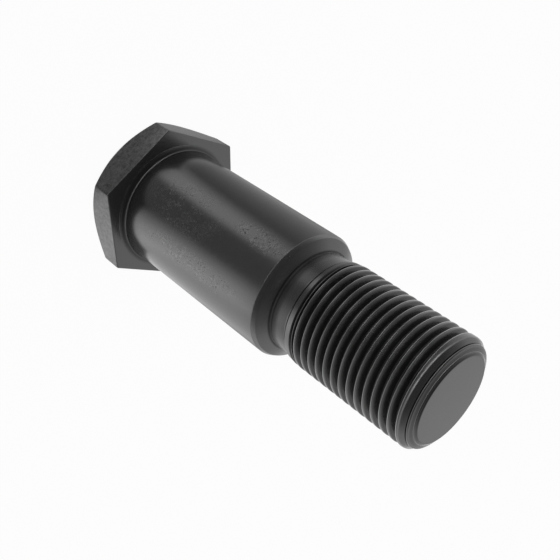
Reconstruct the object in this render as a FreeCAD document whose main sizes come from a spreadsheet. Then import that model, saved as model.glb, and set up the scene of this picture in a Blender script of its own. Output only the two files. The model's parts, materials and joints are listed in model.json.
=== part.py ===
import FreeCAD, Part
import math
import os
import Sketcher

# Track shoe bolt: a thin chamfered hexagon head, a thick plain shank, a narrow neck
# and a fine right-hand thread that ends in a short bevelled pilot.
# It is one forged and turned piece. It stands on its head: the head's outer face lies
# in the plane Z = 0, its centre is the origin, and the thread points up along +Z.
# Millimetres. Places along the bolt are measured from the bearing face under the head.

SHEET = "Sizes"
NODE = "shoe_bolt"

# Alias, value and meaning of each size that can be set by itself.
SIZES = [
    ("across_flats", 35.1, "width of the hexagon over two flats"),
    ("head_height", 8.0, "outer face of the head to the bearing face"),
    ("head_face_inset", 0.15, "from a flat in to the round outer face of the head"),
    ("head_chamfer_angle", 45.0, "slope of the head's chamfer against its outer face"),
    ("corner_radius", 0.5, "rounding of the six upright corners"),
    ("head_fillet_length", 1.6, "hollow fillet under the head, along the axis"),
    ("head_fillet_rise", 0.7, "hollow fillet under the head, across"),
    ("shank_diameter", 28.7, "plain shank"),
    ("shank_length", 45.1, "bearing face to the end of the full shank"),
    ("bevel_length", 0.9, "bevel at the end of the shank, along the axis"),
    ("bevel_depth", 0.5, "bevel at the end of the shank, across"),
    ("shoulder_length", 1.5, "sloping shoulder, along the axis"),
    ("neck_fillet_length", 1.9, "hollow fillet at the foot of the shoulder, along the axis"),
    ("neck_fillet_rise", 0.55, "hollow fillet at the foot of the shoulder, across"),
    ("neck_length", 2.6, "plain neck, from its fillet to the thread"),
    ("neck_inset", 0.7, "depth of the neck under the crests of the thread"),
    ("thread_diameter", 24.0, "major diameter of the thread"),
    ("thread_pitch", 2.0, "pitch of the thread"),
    ("flank_angle", 60.0, "angle between the two flanks of a groove"),
    ("thread_length", 29.7, "end of the plain neck to the last full crest"),
    ("groove_lead", 0.06, "start of the groove before the end of the plain neck"),
    ("end_chamfer_length", 0.85, "last full crest to the foot of the pilot"),
    ("pilot_inset", 0.8, "depth of the pilot under the crests of the thread"),
    ("pilot_length", 0.88, "first, steep bevel of the pilot, along the axis"),
    ("pilot_rise", 0.37, "first, steep bevel of the pilot, across"),
    ("nose_length", 0.37, "second, flat bevel of the pilot, along the axis"),
    ("nose_rise", 0.88, "second, flat bevel of the pilot, across"),
]

# The basic form of the thread: what its crests and roots lack of the sharp V.
CREST_CUT = 1.0 / 8.0
ROOT_CUT = 1.0 / 4.0

# Overlaps of the solids and cuts, none of which shows on the finished bolt: the turned
# form starts inside the head, the chamfer's cut clears the corners, and the groove's
# cut stands out of the crests and goes on past the tip, both as shares of the pitch.
HEAD_OVERLAP = 0.5
CORNER_CLEARANCE = 3.0
CREST_CLEARANCE = 0.05
TIP_CLEARANCE = 0.8


def make_sheet(doc):
    """Write the driving sizes into the sheet, one row each, and name each value."""
    sheet = doc.addObject("Spreadsheet::Sheet", SHEET)
    for row, (alias, value, meaning) in enumerate(SIZES, start=1):
        sheet.set("A%d" % row, alias)
        sheet.set("B%d" % row, str(value))
        sheet.set("C%d" % row, meaning)
        sheet.setAlias("B%d" % row, alias)
    doc.recompute()
    return sheet


def origin_plane(body, role):
    """The body's own origin plane with this role."""
    return [item for item in body.Origin.OriginFeatures if item.Role == role][0]


def new_sketch(body, name, role):
    """A sketch that lies flat on one of the body's origin planes."""
    sketch = body.newObject("Sketcher::SketchObject", name)
    sketch.AttachmentSupport = [(origin_plane(body, role), "")]
    sketch.MapMode = "FlatFace"
    return sketch


def bind(sketch, constraint, name, expression):
    """Add one named constraint and drive it by an expression."""
    index = sketch.addConstraint(constraint)
    sketch.renameConstraint(index, name)
    sketch.setExpression("Constraints.%s" % name, expression)


def value_of(sheet, expression):
    """The number that an expression over the sheet gives now, with 0 for an axis."""
    return 0.0 if expression is None else float(sheet.evalExpression(expression))


def hold_point(sketch, edge, end, label, spot, expressions):
    """Hold one end of an edge: an expression drives each coordinate, None is an axis."""
    for kind, name, axis, at, expression in (
            ("DistanceX", "across", -2, spot[0], expressions[0]),
            ("DistanceY", "along", -1, spot[1], expressions[1])):
        if expression is None:
            sketch.addConstraint(Sketcher.Constraint("PointOnObject", edge, end, axis))
        else:
            constraint = Sketcher.Constraint(kind, -1, 1, edge, end, at)
            bind(sketch, constraint, "%s_%s" % (label, name), expression)


def hollow_arc(start, end, following):
    """The hollow arc from start to end that runs smoothly into the straight edge after it.

    It is drawn the other way round, from end to start.
    """
    course = (following - end).normalize()
    side = FreeCAD.Vector(course.y, -course.x, 0)
    chord = start - end
    radius = chord.dot(chord) / (2.0 * chord.dot(side))
    centre = end + side * radius
    angles = [math.atan2(spot.y - centre.y, spot.x - centre.x) for spot in (end, start)]
    if angles[1] < angles[0]:
        angles[1] += 2.0 * math.pi
    circle = Part.Circle(centre, FreeCAD.Vector(0, 0, 1), radius)
    return Part.ArcOfCircle(circle, angles[0], angles[1])


def draw_outline(sketch, sheet, corners, hollows=()):
    """Draw a closed outline, held at every corner: (label, across, along) each.

    hollows names the corners where a hollow round edge starts.
    """
    labels = [label for label, _, _ in corners]
    spots = [FreeCAD.Vector(value_of(sheet, across), value_of(sheet, along), 0)
             for _, across, along in corners]
    count = len(corners)
    ends = []
    for edge, label in enumerate(labels):
        start, end, following = (spots[(edge + step) % count] for step in range(3))
        if label in hollows:
            sketch.addGeometry(hollow_arc(start, end, following), False)
        else:
            sketch.addGeometry(Part.LineSegment(start, end), False)
        ends.append((2, 1) if label in hollows else (1, 2))
    for edge, label in enumerate(labels):
        following = (edge + 1) % count
        kind = "Tangent" if label in hollows else "Coincident"
        sketch.addConstraint(Sketcher.Constraint(
            kind, edge, ends[edge][1], following, ends[following][0]))
    for edge, (label, across, along) in enumerate(corners):
        hold_point(sketch, edge, ends[edge][0], label, (spots[edge].x, spots[edge].y),
                   (across, along))


def check_cut(doc, feature, before):
    """Stop if a cut took nothing away from the solid that it was made in."""
    doc.recompute()
    if not feature.Shape.Volume < before - 1.0:
        raise RuntimeError("%s cuts nothing" % feature.Name)


def add_hexagon(doc, body, sheet):
    """The hexagon of the head, with a corner on the X axis and its six corners eased."""
    sketch = new_sketch(body, "HexagonSketch", "XY_Plane")
    corner_circle = "Sizes.across_flats / sqrt(3)"
    radius = value_of(sheet, corner_circle)
    for corner in range(6):
        start, end = (FreeCAD.Vector(radius * math.cos(angle), radius * math.sin(angle), 0)
                      for angle in (corner * math.pi / 3.0, (corner + 1) * math.pi / 3.0))
        sketch.addGeometry(Part.LineSegment(start, end), False)
    ring = sketch.addGeometry(
        Part.Circle(FreeCAD.Vector(0, 0, 0), FreeCAD.Vector(0, 0, 1), radius), True)
    sketch.addConstraint(Sketcher.Constraint("Coincident", ring, 3, -1, 1))
    for corner in range(6):
        sketch.addConstraint(Sketcher.Constraint("Coincident", corner, 2, (corner + 1) % 6, 1))
        sketch.addConstraint(Sketcher.Constraint("PointOnObject", corner, 1, ring))
    for corner in range(1, 6):
        sketch.addConstraint(Sketcher.Constraint("Equal", 0, corner))
    sketch.addConstraint(Sketcher.Constraint("PointOnObject", 0, 1, -1))
    bind(sketch, Sketcher.Constraint("Radius", ring, radius), "corner_circle", corner_circle)
    pad = body.newObject("PartDesign::Pad", "Hexagon")
    pad.Profile = sketch
    pad.setExpression("Length", "Sizes.head_height")
    doc.recompute()
    upright = ["Edge%d" % (number + 1) for number, edge in enumerate(pad.Shape.Edges)
               if abs(edge.tangentAt(edge.FirstParameter).z) > 0.99]
    corners = body.newObject("PartDesign::Fillet", "HexagonCorners")
    corners.Base = (pad, upright)
    corners.setExpression("Radius", "Sizes.corner_radius")
    doc.recompute()
    return corners


def chamfer_head(doc, body, sheet, hexagon):
    """The cone that leaves a round outer face and an arc on each flat of the head."""
    sketch = new_sketch(body, "HeadChamferSketch", "XZ_Plane")
    face = "(Sizes.across_flats / 2 - Sizes.head_face_inset)"
    rim = "(Sizes.across_flats / sqrt(3) + %g)" % CORNER_CLEARANCE
    draw_outline(sketch, sheet, [
        ("face", face, None),
        ("rim", rim, None),
        ("slope", rim, "(%s - %s) * tan(Sizes.head_chamfer_angle)" % (rim, face)),
    ])
    groove = body.newObject("PartDesign::Groove", "HeadChamfer")
    groove.Profile = sketch
    groove.ReferenceAxis = (sketch, ["V_Axis"])
    groove.Angle = 360.0
    check_cut(doc, groove, hexagon.Shape.Volume)


def heights():
    """The height of each step of the turned form above the head's outer face."""
    steps = [
        ("bearing", "Sizes.head_height"),
        ("bevel_start", "Sizes.shank_length"),
        ("bevel_end", "Sizes.bevel_length"),
        ("shoulder_foot", "Sizes.shoulder_length"),
        ("neck_start", "Sizes.neck_fillet_length"),
        ("neck_end", "Sizes.neck_length"),
        ("last_crest", "Sizes.thread_length"),
        ("pilot_foot", "Sizes.end_chamfer_length"),
        ("nose", "Sizes.pilot_length"),
        ("tip", "Sizes.nose_length"),
    ]
    return {name: " + ".join(length for _, length in steps[:number + 1])
            for number, (name, _) in enumerate(steps)}


def add_turned_form(doc, body, sheet):
    """Everything above the head in one outline: shank, shoulder, neck, blank and pilot."""
    sketch = new_sketch(body, "TurnedSketch", "XZ_Plane")
    height = heights()
    root = "%s - %g" % (height["bearing"], HEAD_OVERLAP)
    shank = "Sizes.shank_diameter / 2"
    fillet_foot = "%s + Sizes.head_fillet_rise" % shank
    crest = "Sizes.thread_diameter / 2"
    neck = "%s - Sizes.neck_inset" % crest
    pilot = "%s - Sizes.pilot_inset" % crest
    nose = "%s - Sizes.pilot_rise" % pilot
    draw_outline(sketch, sheet, [
        ("core", None, root),
        ("root", fillet_foot, root),
        ("head_fillet", fillet_foot, height["bearing"]),
        ("shank", shank, "%s + Sizes.head_fillet_length" % height["bearing"]),
        ("bevel", shank, height["bevel_start"]),
        ("shoulder", "%s - Sizes.bevel_depth" % shank, height["bevel_end"]),
        ("neck_fillet", "%s + Sizes.neck_fillet_rise" % neck, height["shoulder_foot"]),
        ("neck", neck, height["neck_start"]),
        ("lead", neck, height["neck_end"]),
        ("first_crest", crest, "%s + Sizes.neck_inset" % height["neck_end"]),
        ("last_crest", crest, height["last_crest"]),
        ("pilot", pilot, height["pilot_foot"]),
        ("nose", nose, height["nose"]),
        ("tip", "%s - Sizes.nose_rise" % nose, height["tip"]),
        ("tip_centre", None, height["tip"]),
    ], hollows=("head_fillet", "neck_fillet"))
    turned = body.newObject("PartDesign::Revolution", "TurnedForm")
    turned.Profile = sketch
    turned.ReferenceAxis = (sketch, ["V_Axis"])
    turned.Angle = 360.0
    doc.recompute()
    return turned


def cut_thread(doc, body, sheet, turned):
    """The helical groove of the thread, which starts at the back and runs off the tip."""
    sketch = new_sketch(body, "GrooveSketch", "XZ_Plane")
    height = heights()
    middle = "%s - Sizes.groove_lead" % height["neck_end"]
    slope = "tan(Sizes.flank_angle / 2)"
    depth = "Sizes.thread_pitch / (2 * %s) * %g" % (slope, 1.0 - CREST_CUT - ROOT_CUT)
    clearance = "Sizes.thread_pitch * %g" % CREST_CLEARANCE
    root = "Sizes.thread_diameter / 2 - %s" % depth
    mouth = "Sizes.thread_diameter / 2 + %s" % clearance
    root_half = "Sizes.thread_pitch * %g" % (ROOT_CUT / 2.0)
    mouth_half = "(%s + (%s + %s) * %s)" % (root_half, depth, clearance, slope)
    draw_outline(sketch, sheet, [
        ("lower_root", "-(%s)" % root, "%s - %s" % (middle, root_half)),
        ("upper_root", "-(%s)" % root, "%s + %s" % (middle, root_half)),
        ("upper_mouth", "-(%s)" % mouth, "%s + %s" % (middle, mouth_half)),
        ("lower_mouth", "-(%s)" % mouth, "%s - %s" % (middle, mouth_half)),
    ])
    groove = body.newObject("PartDesign::SubtractiveHelix", "Thread")
    groove.Profile = sketch
    groove.ReferenceAxis = (sketch, ["V_Axis"])
    groove.Mode = "pitch-height-angle"
    groove.setExpression("Pitch", "Sizes.thread_pitch")
    groove.setExpression("Height", "%s - (%s) + Sizes.thread_pitch * %g" % (
        height["tip"], middle, TIP_CLEARANCE))
    groove.LeftHanded = False
    groove.Reversed = False
    check_cut(doc, groove, turned.Shape.Volume)


def make_bolt(doc, sheet):
    """The whole bolt as one body."""
    body = doc.addObject("PartDesign::Body", "ShoeBolt")
    body.Label = NODE
    body.Placement = FreeCAD.Placement()
    hexagon = add_hexagon(doc, body, sheet)
    chamfer_head(doc, body, sheet, hexagon)
    turned = add_turned_form(doc, body, sheet)
    cut_thread(doc, body, sheet, turned)
    return body


def check_document(doc, body):
    """Stop before anything is written if an object failed or the solid is not sound."""
    for item in doc.Objects:
        if "Invalid" in item.State or "Error" in item.State:
            raise RuntimeError("%s failed" % item.Name)
    shape = body.Shape
    if shape.isNull() or not shape.isValid() or len(shape.Solids) != 1:
        raise RuntimeError("%s is not one sound solid" % body.Label)


def main():
    doc = FreeCAD.newDocument("TrackShoeBolt")
    sheet = make_sheet(doc)
    body = make_bolt(doc, sheet)
    doc.recompute()
    check_document(doc, body)
    os.makedirs("parts", exist_ok=True)
    body.Shape.exportStep("parts/%s.step" % body.Label)
    box = body.Shape.BoundBox
    print("%s %.2f x %.2f x %.2f mm, %.1f mm3" % (
        body.Label, box.XLength, box.YLength, box.ZLength, body.Shape.Volume))


main()
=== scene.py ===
"""The looks of one track shoe bolt: its mesh, its black steel and a plain pale studio.

The bolt is one forged and turned piece, so the scene holds one piece. It stands on its head,
with its axis along +Z. Sizes of the bolt are in millimetres and heights are measured from the
head's outer face; metres are used for everything that Blender itself keeps.
"""
import json
import logging
import math
from dataclasses import dataclass, field
from enum import Enum
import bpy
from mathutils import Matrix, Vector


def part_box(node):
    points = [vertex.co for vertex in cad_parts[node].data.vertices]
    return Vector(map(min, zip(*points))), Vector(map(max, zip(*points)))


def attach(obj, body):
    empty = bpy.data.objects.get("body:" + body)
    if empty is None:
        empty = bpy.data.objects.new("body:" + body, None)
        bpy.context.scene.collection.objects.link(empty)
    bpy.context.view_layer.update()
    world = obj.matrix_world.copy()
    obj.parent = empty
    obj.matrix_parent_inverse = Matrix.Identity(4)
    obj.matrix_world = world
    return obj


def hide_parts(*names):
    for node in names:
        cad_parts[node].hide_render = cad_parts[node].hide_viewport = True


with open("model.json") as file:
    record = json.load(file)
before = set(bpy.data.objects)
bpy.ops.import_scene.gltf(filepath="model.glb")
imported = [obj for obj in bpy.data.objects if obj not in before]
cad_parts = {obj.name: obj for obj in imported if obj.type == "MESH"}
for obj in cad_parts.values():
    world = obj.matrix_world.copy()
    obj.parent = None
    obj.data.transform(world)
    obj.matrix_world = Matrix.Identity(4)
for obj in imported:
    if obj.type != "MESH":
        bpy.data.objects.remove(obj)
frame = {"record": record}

from types import MappingProxyType
from typing import Any, Callable, Dict, List, Mapping, Sequence, Tuple, Union

import bmesh
import bpy
from mathutils import Quaternion, Vector

NODE = "shoe_bolt"
BODY = "root"
SLOT = "black_oxide_steel"
MM = 0.001
DEGREES = 180.0 / math.pi
COLUMNS = 256
WELD = 2e-6
SHARP_ANGLE = math.radians(42.0)

log = logging.getLogger("shoe_bolt")

Point = Tuple[float, float]
Stops = Tuple[Tuple[float, float], ...]
Operand = Union["Signal", float]
NOTHING: Mapping[Any, Any] = MappingProxyType({})


class Light(Enum):
    """The kinds of ray that a material of the studio can tell apart."""

    CAMERA = "Is Camera Ray"
    GLOSSY = "Is Glossy Ray"
    TRANSMISSION = "Is Transmission Ray"


class Signal:
    """One value or vector on its way through a node tree, used like a number."""

    def __init__(self, tree: "Tree", socket: bpy.types.NodeSocket) -> None:
        """Wrap one output socket of a tree."""
        self.tree = tree
        self.socket = socket

    def math(self, operation: str, *others: Operand) -> "Signal":
        """Add one Math node with this value first.

        Args:
            operation: the Math node's operation.
            others: the further operands, signals or numbers.

        Returns:
            The node's result.
        """
        return self.tree.node("ShaderNodeMath", {"operation": operation},
                              dict(enumerate((self,) + others)))

    def __add__(self, other: Operand) -> "Signal":
        """The sum."""
        return self.math("ADD", other)

    __radd__ = __add__

    def __mul__(self, other: Operand) -> "Signal":
        """The product."""
        return self.math("MULTIPLY", other)

    __rmul__ = __mul__

    def __sub__(self, other: Operand) -> "Signal":
        """The difference."""
        return self.math("SUBTRACT", other)

    def __rsub__(self, other: float) -> "Signal":
        """The difference, taken the other way round."""
        return self.tree.node("ShaderNodeMath", {"operation": "SUBTRACT"}, {0: other, 1: self})

    def __truediv__(self, other: Operand) -> "Signal":
        """The quotient."""
        return self.math("DIVIDE", other)

    def __rtruediv__(self, other: float) -> "Signal":
        """The quotient, taken the other way round."""
        return self.tree.node("ShaderNodeMath", {"operation": "DIVIDE"}, {0: other, 1: self})

    def least(self, other: Operand) -> "Signal":
        """The smaller of two values."""
        return self.math("MINIMUM", other)

    def most(self, other: Operand) -> "Signal":
        """The larger of two values."""
        return self.math("MAXIMUM", other)

    def between(self, low: Operand, high: Operand, smooth: bool = True) -> "Signal":
        """A step from 0 to 1 as the value goes from low to high.

        Args:
            low: the value where the step starts; it may lie above high.
            high: the value where the step ends.
            smooth: whether the step eases in and out.

        Returns:
            The step, held between 0 and 1.
        """
        kind = "SMOOTHSTEP" if smooth else "LINEAR"
        return self.tree.node("ShaderNodeMapRange", {"interpolation_type": kind, "clamp": True},
                              {"Value": self, "From Min": low, "From Max": high})


class Tree:
    """A node tree that is filled by code."""

    def __init__(self, nodes: bpy.types.NodeTree) -> None:
        """Take over one node tree."""
        self.nodes = nodes

    def make(self, kind: str, settings: Mapping[str, Any] = NOTHING,
             inputs: Mapping[Union[str, int], Any] = NOTHING) -> bpy.types.Node:
        """Add one node.

        Args:
            kind: the node's type.
            settings: the node's own properties, which are set first.
            inputs: values or signals for its sockets, by name or number.

        Returns:
            The new node.
        """
        node = self.nodes.nodes.new(kind)
        for name, value in settings.items():
            if name == "stops":
                self._set_stops(node, value)
            else:
                setattr(node, name, value)
        for name, value in inputs.items():
            if isinstance(value, Signal):
                self.nodes.links.new(value.socket, node.inputs[name])
            else:
                node.inputs[name].default_value = value
        return node

    @staticmethod
    def _set_stops(node: bpy.types.Node, stops: Sequence[Point]) -> None:
        """Give a colour ramp its stops.

        Args:
            node: the ramp.
            stops: pairs of a place and the grey there.
        """
        elements = node.color_ramp.elements
        while len(elements) < len(stops):
            elements.new(1.0)
        for element, (place, shade) in zip(elements, stops):
            element.position = place
            element.color = grey(shade)

    def node(self, kind: str, settings: Mapping[str, Any] = NOTHING,
             inputs: Mapping[Union[str, int], Any] = NOTHING,
             output: Union[str, int] = 0) -> Signal:
        """Add one node and give one of its outputs.

        Args:
            kind: the node's type.
            settings: the node's own properties.
            inputs: values or signals for its sockets.
            output: the name or number of the output that is wanted.

        Returns:
            That output as a signal.
        """
        return Signal(self, self.make(kind, settings, inputs).outputs[output])

    def place(self) -> Signal:
        """The place on the object itself, in metres."""
        return self.node("ShaderNodeTexCoord", output="Object")

    def vector(self, operation: str, *operands: Any, output: int = 0, **named: Any) -> Signal:
        """Add one Vector Math node.

        Args:
            operation: the node's operation.
            operands: its vectors, signals or triples.
            output: 0 for a vector result and 1 for a value.
            named: further sockets by name, such as Scale.

        Returns:
            The node's result.
        """
        inputs: Dict[Union[str, int], Any] = dict(enumerate(operands))
        inputs.update(named)
        return self.node("ShaderNodeVectorMath", {"operation": operation}, inputs, output)

    def axes(self, vector: Signal) -> Tuple[Signal, Signal, Signal]:
        """Split a vector.

        Args:
            vector: the vector.

        Returns:
            Its three coordinates.
        """
        split = self.make("ShaderNodeSeparateXYZ", {}, {0: vector})
        x, y, z = (Signal(self, socket) for socket in split.outputs)
        return x, y, z

    def blend(self, factor: Operand, first: Any, second: Any) -> Signal:
        """Mix two colours: the first where the factor is 0, the second where it is 1."""
        return self.node("ShaderNodeMix", {"data_type": "RGBA"},
                         {0: factor, 6: first, 7: second}, output=2)


def grey(shade: float) -> Tuple[float, float, float, float]:
    """An opaque grey."""
    return (shade, shade, shade, 1.0)


def hypotenuse(first: Signal, second: Signal) -> Signal:
    """The length of two values that stand at a right angle."""
    return (first * first + second * second).math("SQRT")


def azimuth_of(x: Signal, y: Signal) -> Signal:
    """The direction from the axis in degrees, 0 on +X and 90 on +Y."""
    return y.math("ARCTAN2", x) * DEGREES


def direction(azimuth: float, elevation: float) -> Vector:
    """The way that a pair of angles points.

    Args:
        azimuth: degrees from +X towards +Y.
        elevation: degrees above the floor.

    Returns:
        The unit vector.
    """
    turn, lift = math.radians(azimuth), math.radians(elevation)
    return Vector((math.cos(turn) * math.cos(lift), math.sin(turn) * math.cos(lift),
                   math.sin(lift)))


def emptied(owner: Union[bpy.types.Material, bpy.types.World]) -> Tree:
    """Clear the node tree of a material or a world.

    Args:
        owner: the material or world.

    Returns:
        Its tree, with nothing left in it.
    """
    owner.use_nodes = True
    owner.node_tree.nodes.clear()
    return Tree(owner.node_tree)


def add_object(name: str, data: bpy.types.ID) -> bpy.types.Object:
    """Add an object to the scene.

    Args:
        name: the object's name.
        data: the mesh that it shows, or the camera that it is.

    Returns:
        The new object.
    """
    thing = bpy.data.objects.new(name, data)
    bpy.context.scene.collection.objects.link(thing)
    return thing


def add_mesh(name: str, form: bmesh.types.BMesh) -> bpy.types.Mesh:
    """Turn a form into a mesh.

    Args:
        name: the mesh's name.
        form: the form; it is freed.

    Returns:
        The new mesh.
    """
    mesh = bpy.data.meshes.new(name)
    form.to_mesh(mesh)
    form.free()
    return mesh


def mount(name: str) -> Mapping[str, Any]:
    """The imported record's entry for one mount."""
    return next(entry for entry in frame["record"]["mounts"] if entry["name"] == name)


@dataclass(frozen=True)
class Corner:
    """One corner of the turned outline.

    radius and height give its place. round_off is the radius of its rounded edge, and steps
    is the number of rows on the straight stretch that leads to it.
    """

    radius: float
    height: float
    round_off: float = 0.0
    steps: int = 1


def rounded(path: Sequence[Corner], segments: int = 4) -> List[Point]:
    """Walk along corners and round those that ask for it.

    Args:
        path: the corners in order.
        segments: straight pieces that make up each rounded edge.

    Returns:
        The points of the outline, each a radius and a height.
    """
    points: List[Point] = []
    for number, corner in enumerate(path):
        here = Vector((corner.radius, corner.height))
        stops = [here]
        if corner.round_off > 0.0 and 0 < number < len(path) - 1:
            before, after = path[number - 1], path[number + 1]
            back = (Vector((before.radius, before.height)) - here).normalized()
            ahead = (Vector((after.radius, after.height)) - here).normalized()
            half = back.angle(ahead) / 2.0
            reach = corner.round_off / math.tan(half)
            middle = here + (back + ahead).normalized() * (corner.round_off / math.sin(half))
            first = here + back * reach - middle
            last = here + ahead * reach - middle
            turn = first.angle_signed(last)
            stops = []
            for step in range(segments + 1):
                angle = -turn * step / segments
                cosine, sine = math.cos(angle), math.sin(angle)
                stops.append(middle + Vector((first.x * cosine - first.y * sine,
                                              first.x * sine + first.y * cosine)))
        if points and corner.steps > 1:
            start = Vector(points[-1])
            points += [tuple(start.lerp(stops[0], step / corner.steps))
                       for step in range(1, corner.steps)]
        points += [(stop.x, stop.y) for stop in stops]
    return points


def hollow(start: Point, end: Point, segments: int) -> List[Point]:
    """The hollow fillet from start to end that runs along the axis where it ends.

    Args:
        start: the fillet's outer foot, a radius and a height.
        end: its end on the cylinder, a smaller radius and a greater height.
        segments: straight pieces that make up the arc.

    Returns:
        The points between start and end, without either.
    """
    rise, length = start[0] - end[0], end[1] - start[1]
    radius = (rise * rise + length * length) / (2.0 * rise)
    sweep = math.asin(length / radius)
    if rise > radius:
        sweep = math.pi - sweep
    points = []
    for step in range(1, segments):
        angle = sweep * (1.0 - step / segments)
        points.append((end[0] + radius * (1.0 - math.cos(angle)),
                       end[1] - radius * math.sin(angle)))
    return points


def add_ring(form: bmesh.types.BMesh, places: Sequence[Sequence[float]]) -> List[Any]:
    """One closed row of vertices, from places in millimetres."""
    return [form.verts.new((place[0] * MM, place[1] * MM, place[2] * MM)) for place in places]


def circle(radius: float, height: float, count: int = COLUMNS) -> List[Tuple[float, ...]]:
    """Places that lie evenly round the axis, the first one on +X."""
    turns = (2.0 * math.pi * number / count for number in range(count))
    return [(radius * math.cos(turn), radius * math.sin(turn), height) for turn in turns]


def skin(form: bmesh.types.BMesh, rows: Sequence[Sequence[Any]]) -> None:
    """Join each row with the next by faces that look away from the axis.

    Args:
        form: the mesh that the rows belong to.
        rows: closed rows of equal count, each above the one before.
    """
    for lower, upper in zip(rows, rows[1:]):
        for number in range(len(lower)):
            following = (number + 1) % len(lower)
            form.faces.new((lower[number], lower[following], upper[following], upper[number]))


def turned(form: bmesh.types.BMesh, outline: Sequence[Point]) -> List[List[Any]]:
    """Add the surface that an outline leaves as it goes round the axis.

    Args:
        form: the mesh that it is added to.
        outline: points from the bottom up, each a radius and a height.

    Returns:
        One row of vertices for each point of the outline.
    """
    rows = [add_ring(form, circle(radius, height)) for radius, height in outline]
    skin(form, rows)
    return rows


@dataclass
class Head:
    """The hexagon head: outer face, turned chamfer, six flats and the bearing face."""

    across_flats: float
    height: float
    face_inset: float = 0.15
    chamfer_slope: float = 1.0
    corner_radius: float = 0.5
    corner_steps: int = 6
    flat_steps: int = 20
    chamfer_edge: float = 0.05
    bearing_edge: float = 0.22
    edge_steps: int = 3
    flat_rows: int = 3

    def outline(self) -> List[Tuple[float, float, float]]:
        """The hexagon with its corners rounded.

        Returns:
            For each point of the outline its x, its y and the direction that it faces.
        """
        points = []
        for corner in range(6):
            heading = corner * math.pi / 3.0
            for step in range(self.corner_steps + 1):
                facing = heading + (step / self.corner_steps - 0.5) * math.pi / 3.0
                points.append((*self._on_corner(heading, facing), facing))
            start, facing = Vector(points[-1][:2]), heading + math.pi / 6.0
            end = Vector(self._on_corner(heading + math.pi / 3.0, facing))
            for step in range(1, self.flat_steps):
                place = start.lerp(end, step / self.flat_steps)
                points.append((place.x, place.y, facing))
        return points

    def _on_corner(self, heading: float, facing: float) -> Point:
        """Find a point on one rounded corner of the hexagon.

        Args:
            heading: the direction of the corner from the axis.
            facing: the direction that the corner's surface faces there.

        Returns:
            Its x and its y.
        """
        apothem = self.across_flats / 2.0
        reach = (apothem - self.corner_radius) / math.cos(math.pi / 6.0)
        return (reach * math.cos(heading) + self.corner_radius * math.cos(facing),
                reach * math.sin(heading) + self.corner_radius * math.sin(facing))

    def build(self, form: bmesh.types.BMesh) -> List[Any]:
        """Build the head up to the edge of its bearing face.

        Args:
            form: the mesh that the head is added to.

        Returns:
            The row of vertices round the bearing face.
        """
        outline = self.outline()
        rim = self.across_flats / 2.0 - self.face_inset
        edge = self.chamfer_edge
        rows = [add_ring(form, [self._on_face(x, y, rim - edge, 0.0) for x, y, _ in outline]),
                add_ring(form, [self._on_face(x, y, rim + edge, edge * self.chamfer_slope)
                                for x, y, _ in outline])]
        heights = [(math.hypot(x, y) - rim) * self.chamfer_slope for x, y, _ in outline]
        rows.append(add_ring(form, [
            self._on_face(x, y, math.hypot(x, y) - edge, top - edge * self.chamfer_slope)
            for (x, y, _), top in zip(outline, heights)]))
        foot = self.height - self.bearing_edge
        for row in range(self.flat_rows + 1):
            share = row / self.flat_rows
            rows.append(add_ring(form, [
                (x, y, (top + edge) * (1.0 - share) + foot * share)
                for (x, y, _), top in zip(outline, heights)]))
        for step in range(1, self.edge_steps + 1):
            angle = 0.5 * math.pi * step / self.edge_steps
            inset = self.bearing_edge * (1.0 - math.cos(angle))
            rise = self.bearing_edge * math.sin(angle)
            rows.append(add_ring(form, [
                (x - inset * math.cos(facing), y - inset * math.sin(facing), foot + rise)
                for x, y, facing in outline]))
        form.faces.new(rows[0][::-1])
        skin(form, rows)
        return rows[-1]

    @staticmethod
    def _on_face(x: float, y: float, radius: float, height: float) -> Tuple[float, ...]:
        """The place at this radius in the direction of x and y."""
        scale = radius / math.hypot(x, y)
        return (x * scale, y * scale, height)


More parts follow.
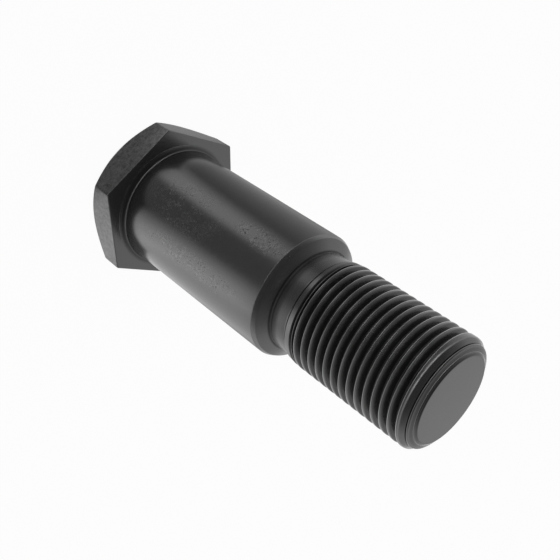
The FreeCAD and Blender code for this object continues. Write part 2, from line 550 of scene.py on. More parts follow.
@dataclass
class Shank:
    """The turned stretch from the bearing face to the neck, all of it round."""

    radius: float
    foot: float
    lip_width: float = 0.06
    lip_lean: float = 0.25
    lip_height: float = 0.07
    fillet_rise: float = 1.25
    fillet_length: float = 1.33
    length: float = 45.1
    bevel_length: float = 0.9
    bevel_depth: float = 0.5
    shoulder_length: float = 1.3
    neck_fillet_length: float = 2.3
    neck_fillet_rise: float = 0.13
    neck_radius: float = 11.3
    neck_length: float = 1.0
    shank_edge: float = 0.3
    shoulder_edge: float = 0.2
    fillet_steps: int = 14
    shank_rows: int = 16
    shoulder_rows: int = 3
    neck_steps: int = 8

    @property
    def end(self) -> float:
        """The height where the thread takes over from the neck."""
        return (self.foot + self.length + self.bevel_length + self.shoulder_length
                + self.neck_fillet_length + self.neck_length)

    def outline(self) -> List[Point]:
        """Draw the outline from the bearing face up to the thread.

        Returns:
            The points of the outline, each a radius and a height.
        """
        lip = self.radius + self.fillet_rise
        lip_top = self.foot + self.lip_height
        fillet_end = self.foot + self.fillet_length
        bevel = self.foot + self.length
        shoulder = bevel + self.bevel_length
        crease = shoulder + self.shoulder_length
        neck = crease + self.neck_fillet_length
        crease_radius = self.neck_radius + self.neck_fillet_rise
        rise = [(lip + self.lip_width, self.foot),
                (lip + self.lip_width * self.lip_lean, lip_top),
                (lip - self.lip_width, lip_top)]
        body = rounded([
            Corner(self.radius, fillet_end),
            Corner(self.radius, bevel, self.shank_edge, steps=self.shank_rows),
            Corner(self.radius - self.bevel_depth, shoulder, self.shoulder_edge),
            Corner(crease_radius, crease, steps=self.shoulder_rows),
        ])
        fillet = hollow((lip, lip_top), (self.radius, fillet_end), self.fillet_steps)[1:]
        neck_fillet = hollow((crease_radius, crease), (self.neck_radius, neck), self.neck_steps)
        return rise + fillet + body + neck_fillet + [(self.neck_radius, neck),
                                                     (self.neck_radius, self.end)]

    def build(self, form: bmesh.types.BMesh, bearing: Sequence[Any]) -> None:
        """Build the turned stretch and close the bearing face round it.

        Args:
            form: the mesh that it is added to.
            bearing: the row of vertices round the bearing face.
        """
        rows = turned(form, self.outline())
        rims = []
        for row in (bearing, rows[0]):
            rims += [form.edges.get((row[number - 1], row[number]))
                     or form.edges.new((row[number - 1], row[number]))
                     for number in range(len(row))]
        made = bmesh.ops.triangle_fill(form, edges=rims, use_beauty=True, normal=(0, 0, 1))
        for face in made["geom"]:
            if isinstance(face, bmesh.types.BMFace) and face.normal.z < 0.0:
                face.normal_flip()


@dataclass
class Tip:
    """The end of the bolt: a short pilot of two turned beads with a flat end face."""

    foot: float
    top: float
    foot_radius: float = 11.2
    groove_depth: float = 0.3
    groove_width: float = 0.2
    bead_radius: float = 11.14
    bead_wall: float = 0.28
    bead_draft: float = 0.04
    bead_edge: float = 0.25
    crease_radius: float = 10.05
    crease_drop: float = 0.55
    crease_step: float = 0.02
    rim_radius: float = 10.0
    rim_wall: float = 0.22
    rim_draft: float = 0.03
    rim_round: float = 0.25
    face_inset: float = 0.6
    face_round: float = 0.1
    face_margin: float = 0.2
    edge_steps: int = 8

    def outline(self) -> List[Point]:
        """Draw the outline from the end of the thread to the flat of the end face.

        Returns:
            The points of the outline, each a radius and a height.
        """
        low = self.foot
        groove = low + self.groove_width
        crease = self.top - self.crease_drop
        flat = self.rim_radius - self.face_inset
        return rounded([
            Corner(self.foot_radius, low),
            Corner(self.foot_radius - self.groove_depth, low + self.groove_width / 2.0),
            Corner(self.bead_radius, groove),
            Corner(self.bead_radius - self.bead_draft, groove + self.bead_wall, self.bead_edge),
            Corner(self.crease_radius, crease),
            Corner(self.rim_radius, crease + self.crease_step),
            Corner(self.rim_radius - self.rim_draft, crease + self.rim_wall, self.rim_round),
            Corner(flat, self.top, self.face_round),
            Corner(flat - self.face_margin, self.top),
        ], segments=self.edge_steps)

    def build(self, form: bmesh.types.BMesh) -> None:
        """Build the pilot from its foot to the closed end face."""
        form.faces.new(turned(form, self.outline())[-1])


@dataclass
class Thread:
    """The right-hand thread, wound by a node tree from the neck to the pilot.

    What starts, ends, rises or falls along the groove is given in turns. Shares are of the
    pitch, but bevel_inside and bevel_outside are of the bevel, and lead_ridge_top is of the
    ridge's own share.
    """

    bottom: float
    top: float
    neck_radius: float
    pilot_radius: float
    crest_radius: float = 12.0
    pitch: float = 2.0
    groove_depth: float = 1.083
    crest_share: float = 0.26
    root_share: float = 0.1
    groove_start: float = 59.4
    ramp_start: float = 59.75
    lead_radius: float = 11.65
    lead_slope: float = 0.13
    lead_ridge: float = 0.95
    lead_ridge_share: float = 0.12
    lead_ridge_top: float = 0.4
    lead_ridge_start: float = 0.85
    lead_ridge_rise: float = 0.2
    lead_ridge_fall: float = 0.3
    lead_ridge_end: float = 1.75
    edge_start: float = 89.25
    edge_slope: float = 0.14
    last_crest: float = 89.67
    edge_softness: float = 0.12
    run_in_start: float = 0.62
    run_in_end: float = 1.02
    run_out_start: float = 14.62
    run_out_end: float = 15.05
    run_out_slope: float = 0.35
    bevel_share: float = 0.025
    bevel_inside: float = 0.6
    bevel_outside: float = 0.4
    crest_rows: int = 3
    rows: int = 16

    def inputs(self) -> Dict[str, float]:
        """List the named inputs of the tree.

        Returns:
            The value of each input by its name, lengths in metres and the rest as they are.
        """
        first = math.floor(COLUMNS * ((self.bottom - self.groove_start) / self.pitch - 0.5))
        last = math.ceil(COLUMNS * ((self.top - self.groove_start) / self.pitch + 0.5))
        lengths = (
            "bottom", "top", "pitch", "groove_start", "groove_depth", "crest_radius",
            "neck_radius", "ramp_start", "lead_radius", "lead_ridge", "edge_start",
            "edge_softness", "pilot_radius")
        plain = (
            "root_share", "bevel_share", "bevel_inside", "bevel_outside", "lead_slope",
            "lead_ridge_share", "lead_ridge_start", "lead_ridge_rise", "lead_ridge_fall",
            "lead_ridge_end", "edge_slope", "run_in_start", "run_in_end", "run_out_start",
            "run_out_end", "run_out_slope", "crest_rows", "rows")
        sizes = {name: getattr(self, name) * MM for name in lengths}
        sizes.update({name: float(getattr(self, name)) for name in plain})
        values = {name.replace("_", " ").title(): size for name, size in sizes.items()}
        values.update({
            "Mouth Share": 1.0 - self.crest_share,
            "Lead Ridge Top": self.lead_ridge_share * self.lead_ridge_top,
            "Chamfer Slope": ((self.crest_radius - self.pilot_radius)
                              / (self.top - self.last_crest)),
            "First Column": float(first),
            "Columns": float(last - first),
            "Columns Per Turn": float(COLUMNS),
        })
        return values

    def tree(self, material: bpy.types.Material) -> Tuple[bpy.types.NodeTree, Dict[str, Any]]:
        """Build the node tree that winds one pitch of the thread round the axis.

        A flat grid is wound up: its long side follows the helix and its short side runs
        over one pitch, so crests and roots follow rows of the mesh exactly.

        Args:
            material: what the thread is made of.

        Returns:
            The tree and the value of each input, by the input socket's identifier.
        """
        group = bpy.data.node_groups.new("thread_winding", "GeometryNodeTree")
        face = group.interface
        face.new_socket(name="Thread", in_out="OUTPUT", socket_type="NodeSocketGeometry")
        values: Dict[str, Any] = {}
        for name, value in self.inputs().items():
            socket = face.new_socket(name=name, in_out="INPUT", socket_type="NodeSocketFloat")
            values[socket.identifier] = value
        socket = face.new_socket(name="Steel", in_out="INPUT", socket_type="NodeSocketMaterial")
        values[socket.identifier] = material
        tree = Tree(group)
        entry = tree.make("NodeGroupInput")
        take = {plug.name: Signal(tree, plug) for plug in entry.outputs if plug.name}
        grid = tree.node("GeometryNodeMeshGrid", {}, {
            "Size X": 1.0, "Size Y": 1.0,
            "Vertices X": take["Columns"] + 1.0, "Vertices Y": take["Rows"] + 1.0})
        along, place, _ = tree.axes(tree.node("GeometryNodeInputPosition"))
        across = self._spread(take, place)
        column = ((along + 0.5) * take["Columns"]).math("ROUND") + take["First Column"]
        turn = column / take["Columns Per Turn"]
        height = (take["Groove Start"] + take["Pitch"] * (turn + across)
                  ).most(take["Bottom"]).least(take["Top"])
        radius = self._radius(take, turn, across, height)
        angle = (turn + 0.5) * (2.0 * math.pi)
        place = tree.node("ShaderNodeCombineXYZ", {}, {
            0: radius * angle.math("COSINE"), 1: radius * angle.math("SINE"), 2: height})
        wound = tree.node("GeometryNodeSetPosition", {}, {"Geometry": grid, "Position": place})
        welded = tree.node("GeometryNodeMergeByDistance", {}, {
            "Geometry": wound, "Distance": WELD})
        smooth = tree.node("GeometryNodeSetShadeSmooth", {}, {"Geometry": welded})
        real = tree.node("GeometryNodeRealizeInstances", {}, {"Geometry": smooth})
        dressed = tree.node("GeometryNodeSetMaterial", {}, {
            "Geometry": real, "Material": take["Steel"]})
        tree.make("NodeGroupOutput", {}, {"Thread": dressed})
        return group, values

    @staticmethod
    def _spread(take: Mapping[str, Signal], place: Signal) -> Signal:
        """Move the rows of the grid to the corners of the thread's profile.

        Args:
            take: the tree's inputs by name.
            place: even place over one pitch, from -0.5 to 0.5.

        Returns:
            The place over the pitch with rows at the root, the flank, the crest's bevel
            and the crest.
        """
        row = place.math("ABSOLUTE") * take["Rows"]
        mouth = take["Mouth Share"] * 0.5
        root = take["Root Share"] * 0.5
        low = mouth - take["Bevel Share"] * take["Bevel Inside"]
        high = mouth + take["Bevel Share"] * take["Bevel Outside"]
        half = take["Rows"] * 0.5
        crest = half - take["Crest Rows"]
        bevel = crest - 1.0
        spread = (row.between(0.0, 1.0, smooth=False) * root
                  + row.between(1.0, bevel, smooth=False) * (low - root)
                  + row.between(bevel, crest, smooth=False) * (high - low)
                  + row.between(crest, half, smooth=False) * (0.5 - high))
        return spread * place.math("SIGN")

    @staticmethod
    def _radius(take: Mapping[str, Signal], turn: Signal, across: Signal,
                height: Signal) -> Signal:
        """The radius of the threaded surface.

        Args:
            take: the tree's inputs by name.
            turn: turns along the helix since the groove's start.
            across: place over one pitch, from -0.5 to 0.5, with the groove in the middle.
            height: height above the head's outer face.

        Returns:
            The smaller of the blank's radius and the groove's.
        """
        mouth = take["Mouth Share"] * 0.5
        root = take["Root Share"] * 0.5
        share = (mouth - across.math("ABSOLUTE")) / (mouth - root)
        share = share.least(1.0).most(0.0)
        ridge = across.math("ABSOLUTE").between(
            take["Lead Ridge Share"], take["Lead Ridge Top"], smooth=False)
        risen = take["Lead Ridge Start"] + take["Lead Ridge Rise"]
        falling = take["Lead Ridge End"] - take["Lead Ridge Fall"]
        ridge = ridge * (turn.between(take["Lead Ridge Start"], risen)
                         * turn.between(take["Lead Ridge End"], falling))
        fade = (turn.between(take["Run In Start"], take["Run In End"])
                * turn.between(take["Run Out End"], take["Run Out Start"]))
        deepest = (take["Crest Radius"] - take["Pilot Radius"]
                   + (take["Top"] - height) * take["Run Out Slope"])
        depth = (take["Groove Depth"] * share * fade - take["Lead Ridge"] * ridge
                 ).least(deepest)
        climb = (height - take["Ramp Start"]).most(0.0)
        ramp = (take["Neck Radius"] + climb).least(
            take["Lead Radius"] + climb * take["Lead Slope"])
        chamfer = take["Pilot Radius"] + (take["Top"] - height) * take["Chamfer Slope"]
        edge = take["Crest Radius"] - (height - take["Edge Start"]) * take["Edge Slope"]
        blank = ramp.least(take["Crest Radius"]).least(edge)
        blank = blank.math("SMOOTH_MIN", chamfer, take["Edge Softness"])
        return blank.least(take["Crest Radius"] - depth)

    def build(self, form: bmesh.types.BMesh, material: bpy.types.Material) -> None:
        """Wind the thread and add it to the bolt's mesh.

        Args:
            form: the mesh that it is added to.
            material: what the thread is made of.
        """
        holder = add_object("thread_holder", bpy.data.meshes.new("thread_holder"))
        group, values = self.tree(material)
        winding = holder.modifiers.new("winding", "NODES")
        winding.node_group = group
        for identifier, value in values.items():
            winding[identifier] = value
        holder.update_tag()
        graph = bpy.context.evaluated_depsgraph_get()
        wound = bpy.data.meshes.new_from_object(holder.evaluated_get(graph))
        form.from_mesh(wound)
        log.info("thread: %d faces", len(wound.polygons))
        bpy.data.objects.remove(holder)
        bpy.data.meshes.remove(wound)


@dataclass(frozen=True)
class Grain:
    """One noise pattern, its scale in features per millimetre."""

    scale: float
    detail: float
    roughness: float
    warp: float = 0.0

    def make(self, tree: Tree, place: Signal) -> Signal:
        """Add the noise, for a place in millimetres."""
        return tree.node("ShaderNodeTexNoise", {"noise_dimensions": "3D"}, {
            "Vector": place, "Scale": self.scale, "Detail": self.detail,
            "Roughness": self.roughness, "Distortion": self.warp})


@dataclass(frozen=True)
class PaintedShadeRing:
    """A ring round the axis, at a radius and a height, where painted shade darkens the steel's
    grey.

    It is darkest out to core and ends at reach, in millimetres from its middle. shade is the
    share of the tone that is left.
    """

    radius: float
    height: float
    core: float
    reach: float
    shade: float


@dataclass(frozen=True)
class Scuff:
    """An oval patch of the shank where the surface is rubbed and pitted.

    azimuth and width are in degrees round the axis, height and length in millimetres along it.
    """

    azimuth: float
    height: float
    width: float
    length: float
    strength: float


@dataclass(frozen=True)
class BlackOxideSteel:
    """Black oxide over turned and forged steel, satin, with painted shade in its recesses and
    grooves and a painted highlight along the edges of the thread's crests.

    Heights and radii are in millimetres. An ease is how far a soft border reaches, and a
    border is the pair of values where it starts and ends.
    """

    shade: float = 0.17
    metal: float = 0.9
    roughness: float = 0.23
    forged_roughness: float = 0.16
    forged_unevenness: float = 0.2
    forged_top: float = 7.85
    forged_ease: float = 0.05
    plain_unevenness: float = 0.08
    plain_relief: float = 0.25
    plain_border: Tuple[float, float] = (57.6, 57.0)
    cloud: Grain = Grain(0.9, 4.0, 0.62)
    cloud_tone: float = 0.1
    mottle: float = 1.5
    speck: Grain = Grain(2.4, 2.0, 0.5)
    grit: float = 1.1
    patch: Grain = Grain(0.3, 3.0, 0.6)
    patch_border: Tuple[float, float] = (0.38, 0.55)
    curl: Grain = Grain(0.75, 1.0, 0.4, 1.6)
    mark_border: Tuple[float, float] = (0.05, 0.012)
    mark_shade: float = 0.55
    mark_roughness: float = 0.12
    mark_relief: float = 0.3
    pit_border: Tuple[float, float] = (0.56, 0.64)
    pit_shade: float = 0.3
    pit_roughness: float = 0.3
    bump: float = 0.06
    bump_distance: float = 0.1
    # Painted shade in the thread's grooves: darker from thread_crest in to thread_root, between
    # thread_foot and thread_top.
    thread_foot: float = 61.3
    foot_ease: float = 0.2
    thread_top: float = 89.6
    top_ease: float = 0.1
    thread_crest: float = 11.97
    thread_root: float = 11.72
    groove_painted_shade: float = 0.55
    # Painted highlight: a lighter grey along the crest edges nearer to the head.
    crest_highlight_grey: float = 0.66
    edge_foot: float = 61.4
    edge_ease: float = 0.3
    edge_border: Tuple[float, float] = (11.7, 11.85)
    edge_width: float = 0.05
    edge_core: float = 0.5
    edge_inset: float = 0.02
    scuff_core: float = 0.4
    scuffs: Tuple[Scuff, ...] = (
        Scuff(-97.0, 46.0, 12.0, 9.0, 1.6),
        Scuff(-45.0, 32.0, 14.0, 22.0, 0.8),
        Scuff(-84.0, 25.0, 30.0, 15.0, 0.8),
        Scuff(60.0, 30.0, 40.0, 20.0, 0.6),
        Scuff(150.0, 36.0, 30.0, 18.0, 0.7),
    )
    # Painted shade: rings of darker grey where the creases and grooves fall into shade.
    recesses: Tuple[PaintedShadeRing, ...] = (
        PaintedShadeRing(14.85, 8.35, 0.1, 1.1, 0.4),
        PaintedShadeRing(14.58, 9.05, 0.12, 0.4, 0.4),
        PaintedShadeRing(11.5, 55.3, 0.1, 0.35, 0.45),
        PaintedShadeRing(11.4, 55.95, 0.08, 0.3, 0.5),
        PaintedShadeRing(11.4, 56.2, 0.3, 1.4, 0.6),
        PaintedShadeRing(11.3, 59.8, 0.06, 0.25, 0.45),
        PaintedShadeRing(11.0, 90.57, 0.14, 0.26, 0.05),
        PaintedShadeRing(10.35, 91.2, 0.2, 0.45, 0.65),
        PaintedShadeRing(9.6, 91.8, 0.1, 0.5, 0.55),
    )

    def make(self, thread: Thread) -> bpy.types.Material:
        """Build the material.

        Args:
            thread: the thread, along whose crest edges a highlight is painted.

        Returns:
            The material.
        """
        material = bpy.data.materials.new(SLOT)
        tree = emptied(material)
        place = tree.place()
        x, y, z = tree.axes(place)
        radius = hypotenuse(x, y) / MM
        height = z / MM
        place_mm = tree.vector("SCALE", place, Scale=1.0 / MM)
        forged = height.between(self.forged_top + self.forged_ease,
                                self.forged_top - self.forged_ease, smooth=False)
        plain = height.between(*self.plain_border) * (1.0 - forged)
        cloud, speck = self.cloud.make(tree, place_mm), self.speck.make(tree, place_mm)
        patch = self.patch.make(tree, place_mm).between(*self.patch_border)
        scuffed = self._scuffed(x, y, height) * patch * plain
        curl = (self.curl.make(tree, place_mm) - 0.5).math("ABSOLUTE")
        marks = curl.between(*self.mark_border) * scuffed
        pits = speck.between(*self.pit_border) * scuffed
        tone = (1.0 + (cloud - 0.5) * (self.mottle * forged + self.cloud_tone)
                - pits * self.pit_shade
                + (speck - 0.5) * (forged + scuffed) * self.grit + marks * self.mark_shade)
        uneven = plain * self.plain_unevenness + forged * self.forged_unevenness
        rough = (self.roughness + forged * self.forged_roughness + (cloud - 0.5) * uneven
                 + marks * self.mark_roughness + pits * self.pit_roughness)
        relief = cloud * (plain * self.plain_relief + forged) - pits + marks * self.mark_relief
        bump = tree.node("ShaderNodeBump", {}, {
            "Strength": self.bump, "Distance": self.bump_distance * MM, "Height": relief})
        # painted highlight along the edges of the thread's crests
        base_share = self.shade / self.crest_highlight_grey
        highlighted = base_share + self._crest_highlight(x, y, radius, height, thread) * (1.0 - base_share)
        # painted shade in the thread's grooves and in the recesses
        left = self._painted_shade(radius, height)
        steel = tree.make("ShaderNodeBsdfPrincipled", {}, {
            "Base Color": tree.blend(left * tone * highlighted, grey(0.0), grey(self.crest_highlight_grey)),
            "Metallic": self.metal, "Roughness": rough, "Normal": bump})
        tree.make("ShaderNodeOutputMaterial", {}, {
            "Surface": Signal(tree, steel.outputs["BSDF"])})
        return material

    def _scuffed(self, x: Signal, y: Signal, height: Signal) -> Signal:
        """How much the shank is scuffed at a place.

        Args:
            x: distance from the axis along +X.
            y: distance from the axis along +Y.
            height: height above the head's outer face in millimetres.

        Returns:
            0 where it is clean and up to a patch's strength in its middle.
        """
        bearing = azimuth_of(x, y)
        total: Operand = 0.0
        for scuff in self.scuffs:
            away = hypotenuse((bearing - scuff.azimuth) / scuff.width,
                              (height - scuff.height) / scuff.length)
            total = away.between(1.0, self.scuff_core) * scuff.strength + total
        return total

    def _crest_highlight(self, x: Signal, y: Signal, radius: Signal, height: Signal,
                    thread: Thread) -> Signal:
        """Where a highlight is painted along the edge of the thread's crest.

        Args:
            x: distance from the axis along +X.
            y: distance from the axis along +Y.
            radius: distance from the axis in millimetres.
            height: height above the head's outer face in millimetres.
            thread: the thread.

        Returns:
            1 on the edge nearer to the head and 0 elsewhere.
        """
        turn = y.math("ARCTAN2", x) / (2.0 * math.pi) + 0.5
        across = ((height - thread.groove_start) / thread.pitch - turn).math("FRACT")
        away = (across - (1.0 - thread.crest_share) * 0.5 - self.edge_inset).math("ABSOLUTE")
        return (away.between(self.edge_width, self.edge_width * self.edge_core)
                * radius.between(*self.edge_border)
                * height.between(self.edge_foot, self.edge_foot + self.edge_ease))

    def _painted_shade(self, radius: Signal, height: Signal) -> Signal:
        """How much of the grey is left under the painted shade in the grooves and recesses.

        Args:
            radius: distance from the bolt's axis in millimetres.
            height: height above the head's outer face in millimetres.

        Returns:
            1 on open surfaces, less in the thread's grooves and in the recesses.
        """
        # painted shade that darkens the thread's grooves
        threaded = (height.between(self.thread_foot - self.foot_ease,
                                   self.thread_foot + self.foot_ease)
                    * height.between(self.thread_top + self.top_ease,
                                     self.thread_top - self.top_ease))
        left = 1.0 - threaded * radius.between(self.thread_crest, self.thread_root) * (
            1.0 - self.groove_painted_shade)
        for recess in self.recesses:
            distance = hypotenuse(radius - recess.radius, height - recess.height)
            left = left * (1.0 - distance.between(recess.reach, recess.core)
                           * (1.0 - recess.shade))
        return left


@dataclass
class ShoeBolt:
    """The whole bolt as one welded mesh."""

    steel: BlackOxideSteel = field(default_factory=BlackOxideSteel)
    pilot_length: float = 1.33

    def parts(self) -> Tuple[Head, Shank, Thread, Tip]:
        """Fit the stretches of the bolt to the frame.

        Returns:
            The head, the shank with the neck, the thread and the tip.
        """
        low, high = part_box(NODE)
        bearing = mount("bearing_face")["pos_m"][2] / MM
        head = Head(across_flats=(high[1] - low[1]) / MM, height=bearing)
        shank = Shank(radius=mount("shank")["dims"]["r_mm"], foot=bearing)
        tip = Tip(foot=high[2] / MM - self.pilot_length, top=high[2] / MM)
        thread = Thread(bottom=shank.end, top=tip.foot, neck_radius=shank.neck_radius,
                        pilot_radius=tip.foot_radius)
        return head, shank, thread, tip

    def build(self) -> None:
        """Build, weld and dress the bolt, which stands for the node and rides on its body."""
        head, shank, thread, tip = self.parts()
        material = self.steel.make(thread)
        form = bmesh.new()
        shank.build(form, head.build(form))
        tip.build(form)
        thread.build(form, material)
        bmesh.ops.remove_doubles(form, verts=form.verts, dist=WELD)
        open_edges = sum(1 for edge in form.edges if len(edge.link_faces) != 2)
        for face in form.faces:
            face.smooth = True
        mesh = add_mesh(NODE + "_dressed", form)
        mesh.set_sharp_from_angle(angle=SHARP_ANGLE)
        mesh.materials.clear()
        mesh.materials.append(material)
        piece = add_object(NODE + "_dressed", mesh)
        weights = piece.modifiers.new("face_weights", "WEIGHTED_NORMAL")
        weights.keep_sharp = True
        log.info("bolt: %d faces, %d open edges", len(mesh.polygons), open_edges)
        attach(piece, BODY)
        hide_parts(NODE)


@dataclass
class Studio:
    """A plain pale floor under a white surround, with cards that only the steel mirrors.

    Its lengths are in metres and its angles in degrees.
    """

    floor_radius: float = 3.0
    floor_steps: int = 96
    floor_shade: float = 0.8
    floor_glow: float = 0.96
    ambient: float = 0.6
    mat_radius: float = 0.5
    mat_steps: int = 64
    mat_rim: float = 0.84
    mat_lift: float = 0.0004
    canopy_radius: float = 0.6
    canopy_fineness: int = 4
    canopy_foot: float = 0.004
    canopy_azimuth: float = -80.0
    canopy_elevation: float = 42.0
    mat_core: Tuple[float, float] = (0.0238, 0.0268)
    mat_far: Tuple[float, float] = (0.082, 0.104)
    core_stops: Stops = (
        (-180.0, 0.65), (-135.0, 0.65), (-120.0, 0.3), (-60.0, 0.25), (-40.0, 1.0),
        (20.0, 1.3), (100.0, 0.6), (180.0, 0.65))
    near_stops: Stops = (
        (-180.0, 0.4), (-140.0, 0.15), (-120.0, 0.75), (-105.0, 0.8), (-95.0, 0.15),
        (-55.0, 0.15), (-30.0, 1.0), (-10.0, 1.3), (5.0, 1.0), (50.0, 0.95), (70.0, 0.4),
        (120.0, 0.2), (150.0, 0.5), (180.0, 0.4))
    far_stops: Stops = (
        (-180.0, 0.55), (-140.0, 0.15), (-110.0, 0.25), (-75.0, 0.1), (0.0, 0.35),
        (40.0, 0.75), (90.0, 0.8), (160.0, 0.75), (180.0, 0.55))
    canopy_stops: Stops = (
        (0.0, 0.05), (50.0, 0.08), (70.0, 0.25), (90.0, 0.65), (115.0, 0.6), (180.0, 0.7))
    strip_azimuth: float = -100.0
    strip_spread: float = 64.0
    strip_core: float = 0.3
    strip_distance: float = 0.5
    strip_foot: float = 0.001
    strip_height: float = 0.05
    strip_steps: int = 24
    card_glow: float = 2.0

    def build(self) -> None:
        """Build the surround, the floor and the cards."""
        self._world()
        self._floor()
        self._mat()
        self._canopy()
        self._strip()

    @staticmethod
    def _rays(tree: Tree, first: Light, *others: Light) -> Signal:
        """Tell some kinds of ray from the others.

        Args:
            tree: the tree that asks.
            first: one kind of ray.
            others: the further kinds.

        Returns:
            1 for rays of these kinds and 0 for all others.
        """
        path = tree.make("ShaderNodeLightPath")
        total = Signal(tree, path.outputs[first.value])
        for kind in others:
            total = total.most(Signal(tree, path.outputs[kind.value]))
        return total

    def _world(self) -> None:
        """A white surround for the camera and for reflections, and an even light level."""
        world = bpy.data.worlds.new("surround")
        bpy.context.scene.world = world
        tree = emptied(world)
        seen = self._rays(tree, *Light)
        shade = tree.blend(seen, grey(self.ambient), grey(1.0))
        light = tree.node("ShaderNodeBackground", {}, {"Color": shade, "Strength": 1.0})
        tree.make("ShaderNodeOutputWorld", {}, {"Surface": light})

    @staticmethod
    def _stage(name: str, form: bmesh.types.BMesh) -> Tuple[bpy.types.Object, Tree]:
        """Turn a form into a stage object with an empty material.

        Args:
            name: the name of the object and of its material.
            form: the mesh; it is freed.

        Returns:
            The object and the tree of its material.
        """
        mesh = add_mesh(name, form)
        thing = add_object(name, mesh)
        material = bpy.data.materials.new(name)
        tree = emptied(material)
        mesh.materials.append(material)
        log.info("studio: %s", name)
        return thing, tree

    def _floor(self) -> None:
        """A pale round floor in the plane of the head's outer face."""
        form = bmesh.new()
        form.faces.new(add_ring(form, circle(self.floor_radius / MM, 0.0, self.floor_steps)))
        _, tree = self._stage("floor", form)
        seen = self._rays(tree, *Light)
        matt = tree.node("ShaderNodeBsdfDiffuse", {}, {"Color": grey(self.floor_shade)})
        glow = tree.node("ShaderNodeEmission", {}, {"Color": grey(1.0), "Strength": 1.0})
        surface = tree.node("ShaderNodeMixShader", {},
                            {0: seen * self.floor_glow, 1: matt, 2: glow})
        tree.make("ShaderNodeOutputMaterial", {}, {"Surface": surface})

    @staticmethod
    def _brightness(tree: Tree, angle: Signal, stops: Stops) -> Signal:
        """How bright the steel sees a card at an angle.

        Args:
            tree: the card's tree.
            angle: the angle in degrees.
            stops: pairs of an angle and the brightness there, from the first to the last.

        Returns:
            The brightness, where 0 is black and 1 is what lies behind the card.
        """
        first, last = stops[0][0], stops[-1][0]
        most = max(bright for _, bright in stops)
        places = [((place - first) / (last - first), bright / most) for place, bright in stops]
        return tree.node("ShaderNodeValToRGB", {"stops": places},
                         {"Fac": (angle - first) / (last - first)}) * most

    def _card(self, name: str, form: bmesh.types.BMesh,
              brightness: Callable[[Tree], Signal]) -> None:
        """Hang a card with soft edges that shows only in reflections.

        Args:
            name: the card's name.
            form: its mesh.
            brightness: makes the card's brightness in its tree.
        """
        card, tree = self._stage(name, form)
        bright = brightness(tree)
        clear = tree.node("ShaderNodeBsdfTransparent", {}, {"Color": grey(1.0)})
        black = tree.node("ShaderNodeEmission", {}, {"Color": grey(0.0), "Strength": 0.0})
        veil = tree.node("ShaderNodeMixShader", {},
                         {0: 1.0 - bright.least(1.0), 1: clear, 2: black})
        excess = (bright - 1.0).most(0.0) / self.card_glow
        glow = tree.node("ShaderNodeEmission", {}, {
            "Color": tree.blend(excess, grey(0.0), grey(1.0)), "Strength": self.card_glow})
        surface = tree.node("ShaderNodeAddShader", {}, {0: veil, 1: glow})
        tree.make("ShaderNodeOutputMaterial", {}, {"Surface": surface})
        card.visible_camera = False
        card.visible_diffuse = False
        card.visible_transmission = False
        card.visible_shadow = False

    def _mat(self) -> None:
        """A card on the floor round the head that only the steel mirrors, painted with light
        and dark sectors by the direction from the bolt's axis.
        """
        form = bmesh.new()
        outline = circle(self.mat_radius / MM, self.mat_lift / MM, self.mat_steps)
        form.faces.new(add_ring(form, outline))
        self._card("mat", form, self._mat_brightness)

    def _mat_brightness(self, tree: Tree) -> Signal:
        """Paint the mat's reflected light and shade: one pattern beside the head, one round it
        and one farther out.

        Args:
            tree: the mat's tree.

        Returns:
            Its brightness, which fades to what lies behind at its rim.
        """
        x, y, _ = tree.axes(tree.place())
        distance, bearing = hypotenuse(x, y), azimuth_of(x, y)
        bright = self._brightness(tree, bearing, self.core_stops)
        for stops, border in ((self.near_stops, self.mat_core), (self.far_stops, self.mat_far)):
            outward = distance.between(*border)
            bright = bright * (1.0 - outward) + self._brightness(tree, bearing, stops) * outward
        rim = distance.between(self.mat_radius * self.mat_rim, self.mat_radius)
        return bright * (1.0 - rim) + rim

    def _canopy(self) -> None:
        """A dark canopy behind the camera, shaded by the angle from its middle."""
        form = bmesh.new()
        bmesh.ops.create_icosphere(form, subdivisions=self.canopy_fineness,
                                   radius=self.canopy_radius)
        low = [vertex for vertex in form.verts if vertex.co.z < self.canopy_foot]
        bmesh.ops.delete(form, geom=low, context="VERTS")
        self._card("canopy", form, self._canopy_brightness)

    def _canopy_brightness(self, tree: Tree) -> Signal:
        """Shade the canopy: darkest in its middle and lighter with the angle from it.

        Args:
            tree: the canopy's tree.

        Returns:
            Its brightness.
        """
        middle = direction(self.canopy_azimuth, self.canopy_elevation)
        outward = tree.vector("NORMALIZE", tree.place())
        along = tree.vector("DOT_PRODUCT", outward, middle, output=1)
        return self._brightness(tree, along.math("ARCCOSINE") * DEGREES, self.canopy_stops)

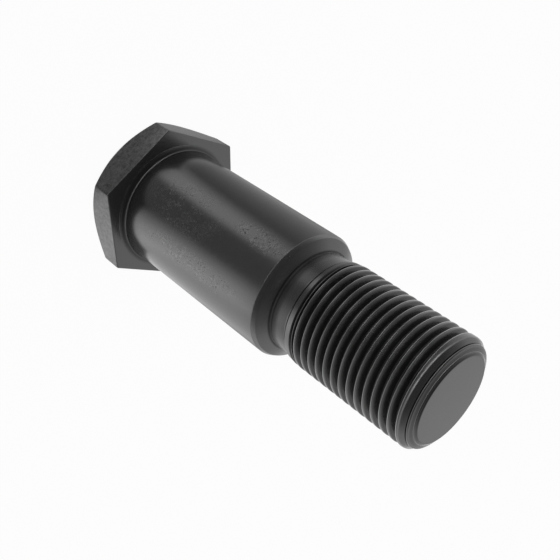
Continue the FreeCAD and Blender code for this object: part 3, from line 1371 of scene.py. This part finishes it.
    def _strip(self) -> None:
        """A low curved strip of light that draws the bright line on the turned edges."""
        form = bmesh.new()
        low, high = [], []
        for step in range(self.strip_steps + 1):
            share = 2.0 * step / self.strip_steps - 1.0
            turn = math.radians(self.strip_azimuth + self.strip_spread * share)
            x, y = self.strip_distance * math.cos(turn), self.strip_distance * math.sin(turn)
            low.append(form.verts.new((x, y, self.strip_foot)))
            high.append(form.verts.new((x, y, self.strip_height)))
        for step in range(self.strip_steps):
            form.faces.new((low[step], low[step + 1], high[step + 1], high[step]))
        self._card("strip", form, self._strip_brightness)

    def _strip_brightness(self, tree: Tree) -> Signal:
        """Shade the strip: brightest in its middle, with soft ends.

        Args:
            tree: the strip's tree.

        Returns:
            Its brightness, which is never under that of what lies behind.
        """
        x, y, _ = tree.axes(tree.place())
        away = (azimuth_of(x, y) - self.strip_azimuth).math("ABSOLUTE")
        lit = away.between(self.strip_spread, self.strip_spread * self.strip_core)
        return 1.0 + lit * self.card_glow


@dataclass
class Camera:
    """The camera at the photograph's viewing angle, fitted to the bolt's outline.

    Its angles are in degrees, its lens and sensor in millimetres and the rest in metres.
    """

    azimuth: float = -79.083
    elevation: float = 35.158
    roll: float = 125.027
    distance: float = 0.163684
    aim_height: float = 0.045908
    lens: float = 49.3668
    sensor: float = 36.0
    nearest: float = 0.01
    farthest: float = 20.0

    def build(self) -> None:
        """Make the camera and give it to the scene."""
        back = direction(self.azimuth, self.elevation)
        data = bpy.data.cameras.new("camera")
        data.lens = self.lens
        data.sensor_width = self.sensor
        data.clip_start = self.nearest
        data.clip_end = self.farthest
        camera = add_object("camera", data)
        camera.rotation_mode = "QUATERNION"
        camera.location = Vector((0.0, 0.0, self.aim_height)) + back * self.distance
        upright = (-back).to_track_quat("-Z", "Y")
        camera.rotation_quaternion = upright @ Quaternion((0.0, 0.0, 1.0),
                                                          math.radians(self.roll))
        bpy.context.scene.camera = camera
        log.info("camera: lens %.1f mm", self.lens)


def main() -> None:
    """Build the scene in order."""
    logging.basicConfig(level=logging.INFO, format="%(name)s: %(message)s")
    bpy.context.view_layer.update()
    bpy.context.scene.view_settings.view_transform = "Standard"
    Camera().build()
    ShoeBolt().build()
    Studio().build()


if __name__ == "__main__":
    main()
